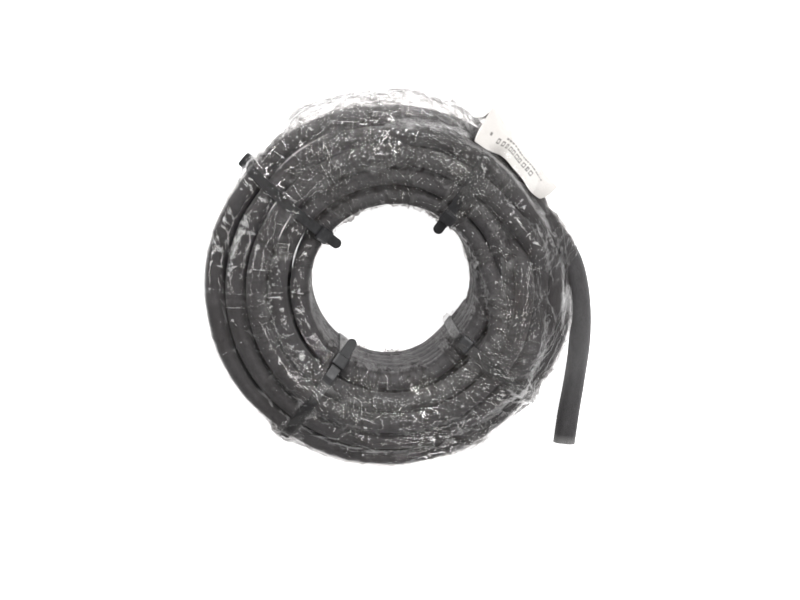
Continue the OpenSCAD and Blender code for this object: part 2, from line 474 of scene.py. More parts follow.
def paper_material():
    m, nt, out = mat_new("label_paper")
    N = Nodes(nt)
    b = nt.nodes.new("ShaderNodeBsdfPrincipled")
    nt.links.new(b.outputs[0], out.inputs[0])
    fibre = N.noise(N.obj(), 700.0, 5.0, 0.7)
    cloud = N.noise(N.obj(), 45.0, 3.0, 0.5)
    col = N.ramp(cloud, [(0.3, (0.80, 0.79, 0.76)), (0.7, (0.88, 0.87, 0.85))])
    col = N.mix(N.remap(fibre, 0.45, 0.75, 0.0, 0.16), col, (0.62, 0.60, 0.57, 1))
    ink = N.attr("ink")
    speck = N.noise(N.obj(), 1500.0, 2.0, 0.6)
    cover = N.math("MULTIPLY", N.remap(ink, 0.45, 0.55, 0.0, 1.0), N.remap(speck, 0.3, 0.6, 0.55, 0.95))
    col = N.mix(cover, col, (0.16, 0.155, 0.15, 1))
    nt.links.new(col, b.inputs["Base Color"])
    nt.links.new(N.remap(fibre, 0.3, 0.7, 0.5, 0.68), b.inputs["Roughness"])
    nt.links.new(N.bump(fibre, 0.2, 0.00015, N.bump(cloud, 0.25, 0.001)), b.inputs["Normal"])
    return m


def film_material(name, haze, gloss):
    """Clear stretched film: see-through, with gloss that rises at grazing angles, milky creases, and painted shade that
    darkens what shows through along the creases.
    """
    m, nt, out = mat_new(name)
    N = Nodes(nt)
    crease, rim, along, across = N.attr("crease"), N.attr("rim"), N.attr("along"), N.attr("across")
    busy, gloss_mask_slip_and_shade = N.attr("busy"), N.attr("gloss_mask_slip_and_shade")
    v = N.vec(N.math("MULTIPLY", along, 0.35), across, 0.0)
    pull = N.noise(v, 0.16, 4.0, 0.6, 0.8)  # long draw marks
    folds = N.noise(v, 0.5, 3.0, 0.55, 1.4)
    crinkle = N.noise(N.obj(), 105.0, 3.0, 0.55, 1.2)
    facet = N.voronoi(N.obj(), 110.0)
    sharp = N.remap(facet, 0.0, 0.12, 1.0, 0.0)
    crush = N.math("MULTIPLY", N.math("ADD", crinkle, N.math("MULTIPLY", sharp, 0.16)), N.math("POWER", busy, 1.6))
    n1 = N.bump(pull, 0.6, 0.0006)
    n2 = N.bump(folds, 0.5, 0.00016, n1)
    n3 = N.bump(crush, 1.0, 0.0014, n2)
    tr = nt.nodes.new("ShaderNodeBsdfTransparent")
    # painted shade: the see-through colour is darkened along the creases, standing in for the shade the folds cast
    crease_shade = N.math("MULTIPLY", N.math("POWER", crease, 2.5), 0.5, True)
    nt.links.new(N.mix(crease_shade, (0.965, 0.960, 0.958, 1), (0.55, 0.54, 0.535, 1)), tr.inputs[0])
    gl = nt.nodes.new("ShaderNodeBsdfGlossy")
    gl.inputs["Color"].default_value = (1, 1, 1, 1)
    gl.inputs["Roughness"].default_value = 0.04
    nt.links.new(n3, gl.inputs["Normal"])
    df = nt.nodes.new("ShaderNodeBsdfDiffuse")
    df.inputs[0].default_value = (0.80, 0.785, 0.775, 1)
    nt.links.new(n3, df.inputs["Normal"])
    lw = nt.nodes.new("ShaderNodeLayerWeight")
    lw.inputs["Blend"].default_value = 0.5
    nt.links.new(n3, lw.inputs["Normal"])
    face = lw.outputs["Facing"]
    fres = N.math("ADD", N.math("MULTIPLY", N.math("POWER", face, 4.5), 0.8), gloss, True)
    # this mask cuts gloss and haze: painted shade on the inner wall round the open middle, and less of both where the
    # film lies on the label
    fres = N.math("MULTIPLY", fres, gloss_mask_slip_and_shade)
    hz = N.math("MULTIPLY", N.remap(N.noise(v, 0.05, 3.0, 0.6), 0.35, 0.7, 0.35, 1.6), haze)
    hz = N.math("ADD", hz, N.math("MULTIPLY", N.math("POWER", crease, 4.0), 0.05))
    hz = N.math("ADD", hz, N.math("MULTIPLY", rim, N.remap(crinkle, 0.45, 0.62, 0.0, 0.14)))
    hz = N.math("ADD", hz, N.math("MULTIPLY", N.math("POWER", face, 4.0), 0.05))
    hz = N.math("ADD", hz, N.math("MULTIPLY", N.attr("veil"), N.remap(folds, 0.35, 0.65, 0.02, 0.16)))
    hz = N.math("MULTIPLY", hz, gloss_mask_slip_and_shade, True)
    m1 = nt.nodes.new("ShaderNodeMixShader")
    nt.links.new(hz, m1.inputs[0])
    nt.links.new(tr.outputs[0], m1.inputs[1])
    nt.links.new(df.outputs[0], m1.inputs[2])
    m2 = nt.nodes.new("ShaderNodeMixShader")
    nt.links.new(fres, m2.inputs[0])
    nt.links.new(m1.outputs[0], m2.inputs[1])
    nt.links.new(gl.outputs[0], m2.inputs[2])
    nt.links.new(m2.outputs[0], out.inputs[0])
    return m


HOSE_MAT = hose_material()
NYLON = nylon_material()
PAPER = paper_material()
FILM = film_material("film_clear", 0.0015, 0.028)
FILM_OUT = film_material("film_clear_outer", 0.0015, 0.030)

hose.data.materials.append(HOSE_MAT)
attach(hose, "root")
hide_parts("hose_coil", "hose_inner_end", "hose_tail", "hose_tail_end")

# ---------------------------------------------------------------- the outline of the wound coil
NT, NA = 900, 288
TH = np.linspace(-math.pi, math.pi, NT, endpoint=False)
AL = np.linspace(0, 2 * math.pi, NA, endpoint=False)
ZC = 66.75


def mid_r(th):
    return 116.8 - 2.5 * np.cos(th)


def blur(a, k, axis):
    w = np.exp(-0.5 * (np.arange(-3 * k, 3 * k + 1) / k) ** 2)
    w /= w.sum()
    return sum(wi * np.roll(a, i - 3 * k, axis) for i, wi in enumerate(w))


def wound_outline(keep):
    body = HOSE_PATH[to_end > keep]
    ang = -np.unwrap(np.arctan2(body[:, 1], body[:, 0]))
    ang = np.maximum.accumulate(ang)
    r, z = np.hypot(body[:, 0], body[:, 1]), body[:, 2]
    rows = []
    k0 = int(math.floor((ang[0] - math.pi) / (2 * math.pi))) - 1
    for k in range(k0, k0 + 40):
        t = -TH + 2 * math.pi * k
        ok = (t >= ang[0]) & (t <= ang[-1])
        rr, zz = np.interp(t, ang, r), np.interp(t, ang, z)
        rr[~ok] = np.nan
        rows.append((rr, zz))
    R = np.array([x[0] for x in rows]) - mid_r(TH)[None]
    Z = np.array([x[1] for x in rows]) - ZC
    beta = np.linspace(0, 2 * math.pi, 192, endpoint=False)
    h = np.empty((NT, len(beta)))
    for i, bt in enumerate(beta):
        h[:, i] = np.nanmax(R * math.cos(bt) + Z * math.sin(bt), axis=0) + HOSE_R
    rho = np.empty((NT, NA))
    close = np.full((NT, NA), -1.0)
    for i, al in enumerate(AL):
        c = np.cos(beta - al)
        use = c > 0.2
        rho[:, i] = np.min(h[:, use] / c[use][None], axis=1)
        # the hose's own surface in this direction
        t = R * math.cos(al) + Z * math.sin(al)
        p = -R * math.sin(al) + Z * math.cos(al)
        q = t + np.sqrt(np.maximum(HOSE_R**2 - p**2, 0))
        q[np.abs(p) > HOSE_R] = np.nan
        close[:, i] = np.nan_to_num(np.nanmax(np.where(np.isnan(q), -1.0, q), axis=0), nan=-1.0)
    return rho, close


HULL, CLOSE = wound_outline(345)
HULL2, CLOSE2 = wound_outline(214)
leave = smooth01((np.degrees(TH) + 3.0) / 20.0)[:, None] * (np.degrees(TH) < 60)[:, None]
HULL = HULL + (HULL2 - HULL) * leave
CLOSE = CLOSE + (CLOSE2 - CLOSE) * leave
HULL = blur(HULL, 4, 0)
SAG = np.clip(HULL - np.maximum(CLOSE, HULL - 9), 0, 9)
SAG = blur(blur(SAG, 2, 1), 3, 0)
TIGHT = HULL - 0.22 * SAG  # film drawn a little into the grooves


def sample(grid, th, al):
    """Bilinear look-up, round both ways."""
    x = ((np.asarray(th) + math.pi) / (2 * math.pi) * NT) % NT
    y = (np.asarray(al) / (2 * math.pi) * NA) % NA
    i, j = np.floor(x).astype(int) % NT, np.floor(y).astype(int) % NA
    fx, fy = x - np.floor(x), y - np.floor(y)
    i2, j2 = (i + 1) % NT, (j + 1) % NA
    if grid.ndim == 3:
        fx, fy = fx[..., None], fy[..., None]
    return (grid[i, j] * (1 - fx) + grid[i2, j] * fx) * (1 - fy) + (grid[i, j2] * (1 - fx) + grid[i2, j2] * fx) * fy


def place(th, al, rho):
    r = mid_r(th) + rho * np.cos(al)
    return np.stack([r * np.cos(th), r * np.sin(th), ZC + rho * np.sin(al)], -1)


def normals_of(grid):
    g = place(TH[:, None] + 0 * AL[None], AL[None] + 0 * TH[:, None], grid)
    du = np.roll(g, -2, 0) - np.roll(g, 2, 0)
    dv = np.roll(g, -2, 1) - np.roll(g, 2, 1)
    n = np.cross(du, dv)
    return n / np.maximum(np.linalg.norm(n, axis=-1, keepdims=True), 1e-9)


def polar(p):
    th = np.arctan2(p[..., 1], p[..., 0])
    r = np.hypot(p[..., 0], p[..., 1]) - mid_r(th)
    z = p[..., 2] - ZC
    return th, np.arctan2(z, r) % (2 * math.pi), np.hypot(r, z)


# ---------------------------------------------------------------- cable ties
SEAT, LIFT = 9.05, 12.15
R1, ZH, ZL, RO = 84.0, 106.9, 26.5, 149.6
AI = math.atan2(123.1 - ZH, 113.8 - R1)


def lean_shift(r, t):
    return math.sqrt(r * r - (LEAN * math.sin(t)) ** 2) - LEAN * math.cos(t) - r


def on_in(s, h):
    return np.array([R1 + s * math.cos(AI) - h * math.sin(AI), ZH + s * math.sin(AI) + h * math.cos(AI)])


def round_path(p, step):
    p = np.asarray(p, float)
    for _ in range(2):
        q = [p[0]]
        for a, b in zip(p[:-1], p[1:]):
            q += [0.75 * a + 0.25 * b, 0.25 * a + 0.75 * b]
        p = np.array(q + [p[-1]])
    s = np.concatenate([[0], np.cumsum(np.linalg.norm(np.diff(p, axis=0), axis=1))])
    u = np.arange(0, s[-1], step)
    return np.stack([np.interp(u, s, p[:, 0]), np.interp(u, s, p[:, 1])], 1)


def contour(t, a0, a1, off, n=60):
    """Points along the coil's outline at angle t, from direction a0 to a1, off outside it."""
    al = np.linspace(a0, a1, n)
    th = np.full(n, t)
    rho = np.max([sample(HULL, th + d, al) for d in (-0.03, 0, 0.03)], axis=0) + off
    return [np.array([mid_r(t) + q * math.cos(a), ZC + q * math.sin(a)]) for a, q in zip(al, rho)]


def strap_mesh(path, t, tip_end, verts, faces, turn=(0.0, 0.0)):
    """A ribbed strap along a path in the coil's section at angle t. The toothed side looks inwards at the start."""
    p = path
    d = np.gradient(p, axis=0)
    d /= np.linalg.norm(d, axis=1, keepdims=True)
    nrm = np.stack([-d[:, 1], d[:, 0]], 1)
    s = np.concatenate([[0], np.cumsum(np.linalg.norm(np.diff(p, axis=0), axis=1))])
    L = s[-1]
    ts = t + turn[0] + (turn[1] - turn[0]) * np.clip(s / L, 0, 1)
    base = len(verts)
    prof = [(-4.5, -0.45), (-4.2, -0.72), (4.2, -0.72), (4.5, -0.45), (4.5, 0.45), (4.2, 0.75), (3.5, 0.75),
            (3.1, None), (-3.1, None), (-3.5, 0.75), (-4.2, 0.75), (-4.5, 0.45)]
    n = len(p)
    for i in range(n):
        w = 1.0
        if tip_end and s[i] > L - 4.4:
            w = math.sqrt(max(1 - ((s[i] - (L - 4.4)) / 4.45) ** 2, 0.02))
        tooth = 0.62 if i % 2 else 0.32
        er, et = np.array([math.cos(ts[i]), math.sin(ts[i]), 0]), np.array([-math.sin(ts[i]), math.cos(ts[i]), 0])
        for (x, y) in prof:
            yy = tooth if y is None else y
            c = er * (p[i, 0] + nrm[i, 0] * yy) + np.array([0, 0, p[i, 1] + nrm[i, 1] * yy]) + et * x * w
            verts.append(c)
    k = len(prof)
    for i in range(n - 1):
        for j in range(k):
            a, b = base + i * k + j, base + i * k + (j + 1) % k
            faces.append((a, b, b + k, a + k))
    faces.append(tuple(base + j for j in range(k - 1, -1, -1)))
    faces.append(tuple(base + (n - 1) * k + j for j in range(k)))


def head_mesh(c, dirv, up, t, slot_shift, verts, faces):
    """The tie's head: a rounded block 11 x 13 x 7.5 mm with a window through it and the pawl inside."""
    er, et = np.array([math.cos(t), math.sin(t), 0]), np.array([-math.sin(t), math.cos(t), 0])
    ez = np.array([0, 0, 1.0])
    D = er * dirv[0] + ez * dirv[1]
    U = er * up[0] + ez * up[1]
    C = er * c[0] + ez * c[1]
    n = 32

    def outer(inset):
        pts = []
        for i in range(n):
            a = 2 * math.pi * i / n
            ca, sa = math.cos(a), math.sin(a)
            q = (abs(ca) ** 7 + abs(sa) ** 7) ** (-1 / 7)
            pts.append((ca * q * (6.5 - inset), sa * q * (3.75 - inset)))
        return pts

    def inner(grow):
        pts = []
        for i in range(n):
            a = 2 * math.pi * i / n
            ca, sa = math.cos(a), math.sin(a)
            q = 1 / max(abs(ca), abs(sa))
            pts.append((ca * q * (4.85 + grow), slot_shift + sa * q * (1.15 + grow)))
        return pts

    rings = [(outer(1.0), -5.5), (outer(0.3), -5.2), (outer(0.0), -4.6), (outer(0.0), 4.6), (outer(0.3), 5.2), (outer(1.0), 5.5),
             (inner(0.35), 5.5), (inner(0.0), 5.0), (inner(0.0), -5.0), (inner(0.35), -5.5)]
    base = len(verts)
    for pts, along in rings:
        for x, y in pts:
            verts.append(C + D * along + et * x + U * y)
    m = len(rings)
    for a in range(m):
        b = (a + 1) % m
        for i in range(n):
            j = (i + 1) % n
            faces.append((base + a * n + i, base + a * n + j, base + b * n + j, base + b * n + i))
    # the pawl: a small wedge that leans over the strap
    base = len(verts)
    for x, y, z in [(-3.2, 1.3, -3.5), (3.2, 1.3, -3.5), (3.2, 1.3, 4.2), (-3.2, 1.3, 4.2),
                    (-3.2, 0.95, -1.5), (3.2, 0.95, -1.5), (3.2, 0.15, 4.0), (-3.2, 0.15, 4.0)]:
        verts.append(C + D * z + et * x + U * (slot_shift + y * 1.0))
    for f in [(0, 1, 2, 3), (4, 7, 6, 5), (0, 4, 5, 1), (1, 5, 6, 2), (2, 6, 7, 3), (3, 7, 4, 0)]:
        faces.append(tuple(base + i for i in f))


STRAPS = []  # strap points that the film runs over
for num, deg in enumerate(TIE_ANGLES, 1):
    t = math.radians(deg)
    so = lean_shift(RO, t)
    cut = [14, 14, 18, 2][num - 1]
    twist = math.radians([-2.0, 5.0, 1.0, -1.0][num - 1])  # the loop sits a little askew: outer end against inner end
    proud = [3.0, 11.0, 0.0, 0.0][num - 1]  # the outer head is lifted off the wall by this much
    # over the top: from the head on the outer wall, over, and through the head on the inner shoulder
    a_out = math.atan2(90 - ZC, 158 + so - mid_r(t))
    s24 = on_in(21, SEAT)
    a_in = math.atan2(s24[1] - ZC, s24[0] - mid_r(t))
    over = contour(t, a_out, a_in, 1.05)
    for i in range(14):  # from the head's foot down to the coil's outline
        over[i] = over[i] + np.array([proud * (1 - i / 14) ** 2, 0])
    shift_in = np.linalg.norm(over[-1] - np.array([mid_r(t), ZC])) - np.linalg.norm(s24 - np.array([mid_r(t), ZC]))
    pts = over + [on_in(13, LIFT), on_in(-7 - cut, LIFT)]
    path = round_path(pts, 0.62)
    v, f = [], []
    strap_mesh(path, t, True, v, f, (twist, 0.0))
    zo = RO + so + 8.3 + 1 + 3.75
    pin = 3.0 - proud  # the head sits where the tie has drawn the layers in
    head_mesh(np.array([zo - pin + 0.4, 88.0]), (0, 1), (1, 0), t + twist, -0.9, v, f)
    ob = new_mesh(f"tie_{num}_outer_part", to_world(np.array(v)), f, smooth=False)
    ob.data.materials.append(NYLON)
    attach(ob, "root")
    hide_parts(f"tie_{num}_outer")
    STRAPS.append((t, twist, 0.0, np.array(over)))
    # under: from the head on the inner shoulder, down the inner wall, under, and up through the outer head
    s4 = on_in(1, SEAT)
    a0 = math.atan2(s4[1] - ZC, s4[0] - mid_r(t))
    a1 = 2 * math.pi + math.atan2(70 - ZC, 158 + so - mid_r(t))
    under = contour(t, a0, a1, 1.05, 90)
    end = [[RO + so + LIFT - pin + 0.4, 79], [RO + so + LIFT - pin + 0.4, 98.5]]
    path = round_path(under + [np.array(e) for e in end], 0.62)
    v, f = [], []
    strap_mesh(path, t, True, v, f, (0.0, twist))
    head_mesh(on_in(-0.5, 8.3 + 1 + 3.75), (math.cos(AI), math.sin(AI)), (-math.sin(AI), math.cos(AI)), t, -0.9, v, f)
    ob = new_mesh(f"tie_{num}_inner_part", to_world(np.array(v)), f, smooth=False)
    ob.data.materials.append(NYLON)
    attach(ob, "root")
    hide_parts(f"tie_{num}_inner")
    STRAPS.append((t, 0.0, twist, np.array(under)))

# ---------------------------------------------------------------- label
def bspline_noise(x, y, seed, n=9, spread=1.0):
    """Smooth noise in a plane with a wavelength near 1, between about -1 and 1."""
    r = np.random.default_rng(seed)
    out = 0.0
    for _ in range(n):
        a = r.uniform(0, 2 * math.pi)
        k = 2 * math.pi * r.uniform(0.55, 1.45)
        out = out + np.sin(k * (np.cos(a) * x + np.sin(a) * y * spread) + r.uniform(0, 6.283))
    return out / math.sqrt(n / 2) / 1.6


def label_mesh():
    """A paper slip laid on the outer shoulder; its outer side springs off into a straight edge."""
    nu, nv = 120, 40
    u, v = np.meshgrid(np.linspace(0, 1, nu), np.linspace(0, 1, nv), indexing="ij")
    t0, t1 = math.radians(63.5), math.radians(31.5)
    wave = 0.020 * np.sin(2 * math.pi * (u * 1.5 + 0.1)) + 0.010 * np.sin(2 * math.pi * (u * 3.1 + 0.6))
    nip = np.clip(1 - u / 0.07, 0, 1) ** 2 * 0.035 + np.clip((u - 0.94) / 0.06, 0, 1) ** 2 * 0.02
    th = t0 + (t1 - t0) * (u + nip * (2 * v - 1) ** 2 * np.where(u < 0.5, 1, -1))
    a_in = math.radians(64.5) + wave * 2.0 - 0.10 * u
    al = a_in
    rho = sample(HULL, th, al) + 1.5
    inner = place(th, al, rho)
    e0, e1 = np.array([83.0, 154.5, 107.0]), np.array([140.5, 85.5, 103.5])
    edge = e0 + (e1 - e0) * u[..., None]
    out_dir = np.array([0.7, 0.72, 0.0])
    bow = 1.0 * np.sin(math.pi * u) + 0.8 * np.sin(2 * math.pi * u * 3.3)
    edge = edge + out_dir * bow[..., None]
    edge[..., 2] += 1.2 * np.sin(2 * math.pi * (u * 2.2 + 0.3))
    P3 = inner + (edge - inner) * v[..., None]
    # arched over the shoulder, never below the coil's outline
    P3[..., 2] += 3.0 * np.sin(math.pi * v) * (0.7 + 0.3 * np.sin(math.pi * u))
    P3[..., 2] -= 3.5 * v**3
    tt, aa, rr = polar(P3)
    need = sample(HULL, tt, aa) + 1.3
    grow = np.maximum(need - rr, 0)
    P3 = place(tt, aa, rr + grow)
    back = P3.copy()
    nrm = np.cross(np.gradient(P3, axis=0), np.gradient(P3, axis=1))
    nrm /= np.linalg.norm(nrm, axis=-1, keepdims=True)
    nrm *= np.sign(nrm[..., 2:3])
    P3 = P3 + nrm * 0.12 * bspline_noise(u * 5, v * 1.6, 8)[..., None]
    back = P3 - nrm * 0.16
    # generic print: one row of short blocks and one of fine dashes, no lettering
    x, y = u * 100, v * 30
    ink = np.zeros_like(u)
    r = np.random.default_rng(5)
    c = 22.0
    while c < 72:
        w = r.uniform(2.6, 4.4)
        ink[(x > c) & (x < c + w) & (y > 9.5) & (y < 15.5)] = 1
        ink[(x > c + 0.9) & (x < c + w - 0.9) & (y > 11) & (y < 14)] = 0
        c += w + r.uniform(1.2, 2.2)
    c = 30.0
    while c < 84:
        w = r.uniform(1.2, 3.0)
        ink[(x > c) & (x < c + w) & (y > 19.0) & (y < 21.5)] = 1
        c += w + r.uniform(0.8, 1.6)
    ink[(x > 12) & (x < 15) & (y > 12) & (y < 15)] = 1
    n = nu * nv
    verts = np.vstack([P3.reshape(-1, 3), back.reshape(-1, 3)])
    faces = []
    for i in range(nu - 1):
        for j in range(nv - 1):
            a = i * nv + j
            faces.append((a, a + 1, a + nv + 1, a + nv))
            faces.append((n + a, n + a + nv, n + a + nv + 1, n + a + 1))
    ring = [i * nv for i in range(nu)] + [(nu - 1) * nv + j for j in range(1, nv)] + [i * nv + nv - 1 for i in range(nu - 2, -1, -1)] + [j for j in range(nv - 2, 0, -1)]
    for a, c in zip(ring, ring[1:] + ring[:1]):
        faces.append((a, c, n + c, n + a))
    ob = new_mesh("label_slip", to_world(verts), faces)
    add_attr(ob.data, "ink", np.concatenate([ink.ravel(), 0 * ink.ravel()]))
    d = np.linalg.norm(np.diff(P3, axis=0), axis=2).sum(0).mean()
    w = np.linalg.norm(np.diff(P3, axis=1), axis=2).sum(1).mean()
    return ob, P3, (w, d)


label, LABEL_PTS, LABEL_SIZE = label_mesh()
label.data.materials.append(PAPER)
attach(label, "root")
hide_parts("label")

# ---------------------------------------------------------------- stretch film
OVER = np.zeros((NT, NA))  # how far the film is lifted by the straps and the label


def lift_over(points, add):
    th, al, rho = polar(points)
    i = np.rint((th + math.pi) / (2 * math.pi) * NT).astype(int) % NT
    j = np.rint(al / (2 * math.pi) * NA).astype(int) % NA
    for a in (-1, 0, 1):
        for b in (-1, 0, 1):
            ii, jj = (i + a) % NT, (j + b) % NA
            np.maximum.at(OVER, (ii, jj), rho + add - TIGHT[ii, jj])


for t, tw0, tw1, path2 in STRAPS:
    q = np.array([np.interp(np.linspace(0, len(path2) - 1, 400), np.arange(len(path2)), path2[:, k]) for k in (0, 1)]).T
    q = q[: int(len(q) * 0.93)]
    ts = t + tw0 + (tw1 - tw0) * np.linspace(0, 1, len(q))
    for x in np.linspace(-5, 5, 21):
        p3 = np.stack([q[:, 0] * np.cos(ts) - x * np.sin(ts), q[:, 0] * np.sin(ts) + x * np.cos(ts), q[:, 1]], -1)
        lift_over(p3, 0.95)
lift_over(LABEL_PTS.reshape(-1, 3), 0.7)


def lobe(x, mid, half, edge):
    """1 within half of mid, falling to 0 over edge; x and mid are angles in degrees."""
    d = np.abs((x - mid + 180) % 360 - 180)
    return smooth01((half + edge - d) / edge)


# the film stands loose of the hose along the far side, and a little along the near side
deg_t, deg_a = np.degrees(TH)[:, None], np.degrees(AL)[None]
LOOSE = 9.0 * lobe(deg_t, 94, 20, 20) * lobe(deg_a, 14, 22, 30)
LOOSE += 5.0 * lobe(deg_t, -78, 30, 24) * lobe(deg_a, 4, 18, 30)
LOOSE += 3.5 * lobe(deg_t, 218, 16, 12) * lobe(deg_a, 8, 16, 28)
LOOSE += 3.0 * lobe(deg_t, -30, 14, 14) * lobe(deg_a, 10, 16, 26)
LOOSE *= 1 + 0.22 * wave_noise(TH * 6.0, 61, 4, 2.0)[:, None]
OVER = np.maximum(blur(blur(OVER, 4, 0), 1, 1), blur(OVER, 1, 0) * 0.98)
OVER = np.maximum(OVER, 0) + blur(LOOSE, 2, 0)
FILMG = TIGHT + OVER
NORM = normals_of(blur(FILMG, 3, 0))


def ridges(x, y, seed, width, spread=1.0):
    """Thin raised lines that wander, 0 to 1."""
    f = bspline_noise(x, y, seed, 9, spread)
    return np.exp(-((f / width) ** 2))


def tie_pull(th, al):
    """Folds that fan out from where the ties gather the film: strength and pattern."""
    total = np.zeros_like(th)
    pat = np.zeros_like(th)
    for n, deg in enumerate(TIE_ANGLES):
        for a_c, rad, reach in ((2.15, 96.0, 26.0), (0.42, 150.0, 30.0)):
            dx = ((th - math.radians(deg) + math.pi) % (2 * math.pi) - math.pi) * rad
            dy = (al - a_c) * 62.0
            d = np.hypot(dx, dy)
            phi = np.arctan2(dy, dx)
            k = np.exp(-((d / reach) ** 2)) * np.clip(d / 7.0, 0, 1)
            f = np.sin(phi * 9 + 2.2 * np.sin(phi * 2 + n) + n * 1.7)
            pat += k * (1 - np.abs(f)) ** 3
            total += k
    return total, pat


BUSY = []


def film_surface(th, al, off, seed, calm=1.0):
    rho = sample(FILMG, th, al)
    n = sample(NORM, th, al)
    n /= np.maximum(np.linalg.norm(n, axis=-1, keepdims=True), 1e-9)
    base = place(th, al, rho)
    r = np.hypot(base[..., 0], base[..., 1])
    x = np.unwrap(th.ravel()).reshape(th.shape) * 118.0 if th.ndim == 1 else th * 118.0
    y = al * 62.0
    near = np.clip((135 - r) / 55.0, 0, 1)  # gathered towards the open middle
    dt, da = np.degrees(th), np.degrees(al)
    total, pat = tie_pull(th, al)
    busy = 0.16 - 0.14 * lobe(dt, 186, 26, 16) + 0.75 * lobe(dt, 85, 38, 22) + 0.45 * lobe(dt, -20, 36, 26) + 0.35 * lobe(dt, -95, 20, 30)
    busy = busy + 0.6 * total + 0.35 * lobe(da, 118, 12, 16) + (0.36 - 0.2 * lobe(dt, 186, 26, 16)) * bspline_noise(x / 55, y / 55, seed + 20)
    loose = np.clip(sample(LOOSE, th, al) / 8.0, 0, 1)
    slip = lobe(dt, 47, 16, 4) * lobe(da, 50, 17, 6)  # smooth where it lies on the label
    loose = loose * (1 - slip)
    busy = np.clip(busy, 0.08, 1.25) * np.where((da > 150) & (da < 215), 0.5, 1.0) * (1 - 0.93 * slip)
    patchy = np.clip(0.5 + 0.9 * bspline_noise(x / 60, y / 60, seed + 1), 0, 1)
    pleat = ridges(x / 13.0, y / 70.0, seed + 2, 0.28) * (0.25 + 0.75 * near) * patchy
    diag = ridges((x + 0.55 * y) / 34.0, (y - 0.3 * x) / 70.0, seed + 3, 0.26) * np.clip(0.4 - 1.1 * bspline_noise(x / 75, y / 75, seed + 4), 0, 1)
    diag2 = ridges((x - 0.7 * y) / 28.0, (y + 0.4 * x) / 56.0, seed + 5, 0.26) * np.clip(0.25 + 1.1 * bspline_noise(x / 66, y / 66, seed + 6), 0, 1)
    fine = ridges(x / 10.0, y / 14.0, seed + 7, 0.30) * np.clip(-0.15 + 1.1 * bspline_noise(x / 38, y / 38, seed + 8), 0, 1)
    vee = ridges((x + 1.3 * y) / 24.0, (y - 1.1 * x) / 44.0, seed + 10, 0.27) * busy
    mesh2 = ridges(x / 7.5, y / 9.0, seed + 11, 0.34) * np.clip(busy - 0.45, 0, 1)
    slow = 0.35 * bspline_noise(x / 42, y / 42, seed + 9)
    crumple = bspline_noise(x / 15, y / 13, seed + 12) + 0.6 * np.abs(bspline_noise(x / 8, y / 9, seed + 13))
    h = slow + (0.5 + 0.9 * busy) * (1.1 * pleat + 1.4 * diag + 1.3 * diag2) + 1.5 * vee + 0.7 * fine * busy + 0.6 * mesh2
    h = h + 1.6 * pat + 1.1 * loose * crumple
    crease = np.clip((0.4 + 0.6 * busy) * (0.75 * pleat + diag + 0.9 * diag2 + 0.9 * vee) + 0.4 * fine + 0.9 * pat + 0.5 * mesh2, 0, 1)
    h, crease = h * (1 - 0.8 * slip), crease * (1 - 0.85 * slip)
    h = np.maximum(h * calm, -0.15)
    # painted shade: gloss and haze are cut on the inner wall round the open middle so that wall stays dark as if
    # shaded; they are also cut where the film lies smooth on the label
    gloss_mask_slip_and_shade = (1 - 0.8 * slip) * (1 - 0.88 * smooth01((np.abs(da - 183) < 62) * (1 - np.abs(da - 183) / 62.0) * 3.0))
    BUSY.append((np.clip(busy + 0.5 * loose, 0, 1.2), gloss_mask_slip_and_shade, loose))
    return base + n * (off + h)[..., None], crease, n


def grid_mesh(name, P3, attrs, wrap=False):
    nu, nv = P3.shape[:2]
    P3 = P3.copy()
    P3[..., 2] = np.maximum(P3[..., 2], 0.12)  # it lies on the floor, not in it
    faces = []
    rows = nu if wrap else nu - 1
    for i in range(rows):
        a0, b0 = i * nv, ((i + 1) % nu) * nv
        for j in range(nv - 1):
            faces.append((a0 + j, a0 + j + 1, b0 + j + 1, b0 + j))
    ob = new_mesh(name, to_world(P3.reshape(-1, 3)), faces)
    for k, val in attrs.items():
        add_attr(ob.data, k, np.asarray(val, float).ravel())
    return ob


# one length of film wound round the ring's section, through the open middle
TURNS = 11
SHARE = 1.5
nu, nv = TURNS * 196 + 40, 82
uu, vv = np.meshgrid(np.linspace(0, TURNS + 0.2, nu), np.linspace(-1, 1, nv), indexing="ij")
ALW = 2 * math.pi * uu + 3.6
half = math.pi / TURNS * SHARE
edge_wob = 0.10 * wave_noise(uu * 2 * math.pi, 31, 5, 2.1) * np.abs(vv) ** 3 * np.sign(vv)
edge_wob += 0.07 * wave_noise(uu * 2 * math.pi + 9, 32, 5, 3.4) * np.abs(vv) ** 3
THW = -2 * math.pi * uu / TURNS + math.radians(96) + (vv + edge_wob) * half
THm = (THW + math.pi) % (2 * math.pi) - math.pi
shingle = 0.35 + 0.28 * (vv + 1)
W3, crease, nW = film_surface(THm, ALW % (2 * math.pi), shingle, 40)
rolled = np.clip((np.abs(vv) - 0.93) / 0.07, 0, 1)
W3 = W3 + nW * (rolled * (0.5 + 0.5 * np.sin(uu * 190 + 3 * np.sin(uu * 37))) * 0.8)[..., None]
film = grid_mesh("film_winding", W3, {
    "crease": crease, "rim": rolled, "busy": BUSY[0][0], "gloss_mask_slip_and_shade": BUSY[0][1], "veil": BUSY[0][2],
    "along": uu * 330.0, "across": vv * 60.0,
})
film.data.materials.append(FILM)
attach(film, "root")
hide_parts("film_wrap")

